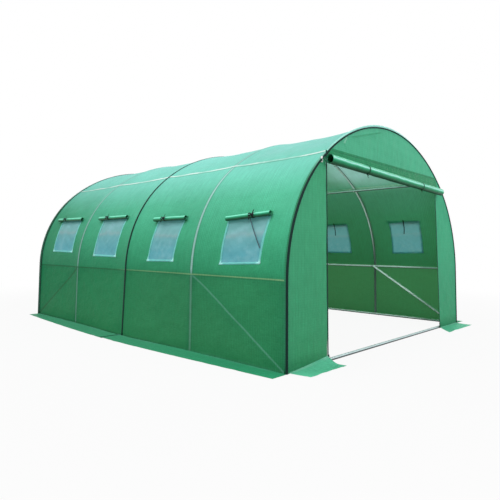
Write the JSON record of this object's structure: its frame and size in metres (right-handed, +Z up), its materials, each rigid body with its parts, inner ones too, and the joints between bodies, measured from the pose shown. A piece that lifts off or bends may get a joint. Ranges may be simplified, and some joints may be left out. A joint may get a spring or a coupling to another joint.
{
  "type": "polytunnel greenhouse",
  "caption": "Walk-in polytunnel greenhouse: hooped steel tube frame, tensioned green woven cover, rolled-up door and side windows with netting, ground skirts.",
  "frame": {"origin": "middle of the footprint, on the ground", "axes": "+Z up, +Y along the tunnel to the closed rear end, +X to the right seen from the door end"},
  "size_m": [3.5806, 4.4796, 1.9575],
  "materials": {
    "galvanised_tube": "satin",
    "roof_cloth": "satin",
    "wall_cloth": "satin",
    "window_mesh": "matte",
    "tie_ribbon": "matte",
    "zip_tape": "satin"
  },
  "bodies": {
    "root": {"front_hoop": "galvanised_tube", "front_middle_hoop": "galvanised_tube", "middle_hoop": "galvanised_tube", "rear_middle_hoop": "galvanised_tube", "rear_hoop": "galvanised_tube", "left_ground_rail": "galvanised_tube", "right_ground_rail": "galvanised_tube", "left_side_rail": "galvanised_tube", "right_side_rail": "galvanised_tube", "left_purlin": "galvanised_tube", "right_purlin": "galvanised_tube", "front_sill": "galvanised_tube", "rear_sill": "galvanised_tube", "front_left_brace": "galvanised_tube", "front_right_brace": "galvanised_tube", "rear_left_brace": "galvanised_tube", "rear_right_brace": "galvanised_tube", "front_cover": "roof_cloth", "rear_cover": "roof_cloth", "front_header": "wall_cloth", "front_left_panel": "wall_cloth", "front_right_panel": "wall_cloth", "front_door_roll": "wall_cloth", "front_door_ties": "tie_ribbon", "rear_header": "wall_cloth", "rear_left_panel": "wall_cloth", "rear_right_panel": "wall_cloth", "rear_door": "wall_cloth", "door_zips": "zip_tape", "left_window_screens": "window_mesh", "right_window_screens": "window_mesh", "left_window_flap_1": "wall_cloth", "left_window_flap_2": "wall_cloth", "left_window_flap_3": "wall_cloth", "left_window_flap_4": "wall_cloth", "right_window_flap_1": "wall_cloth", "right_window_flap_2": "wall_cloth", "right_window_flap_3": "wall_cloth", "right_window_flap_4": "wall_cloth", "left_window_ties": "tie_ribbon", "right_window_ties": "tie_ribbon", "left_skirts": "wall_cloth", "right_skirts": "wall_cloth", "front_flaps": "wall_cloth", "rear_flaps": "wall_cloth"}
  },
  "joints": []
}
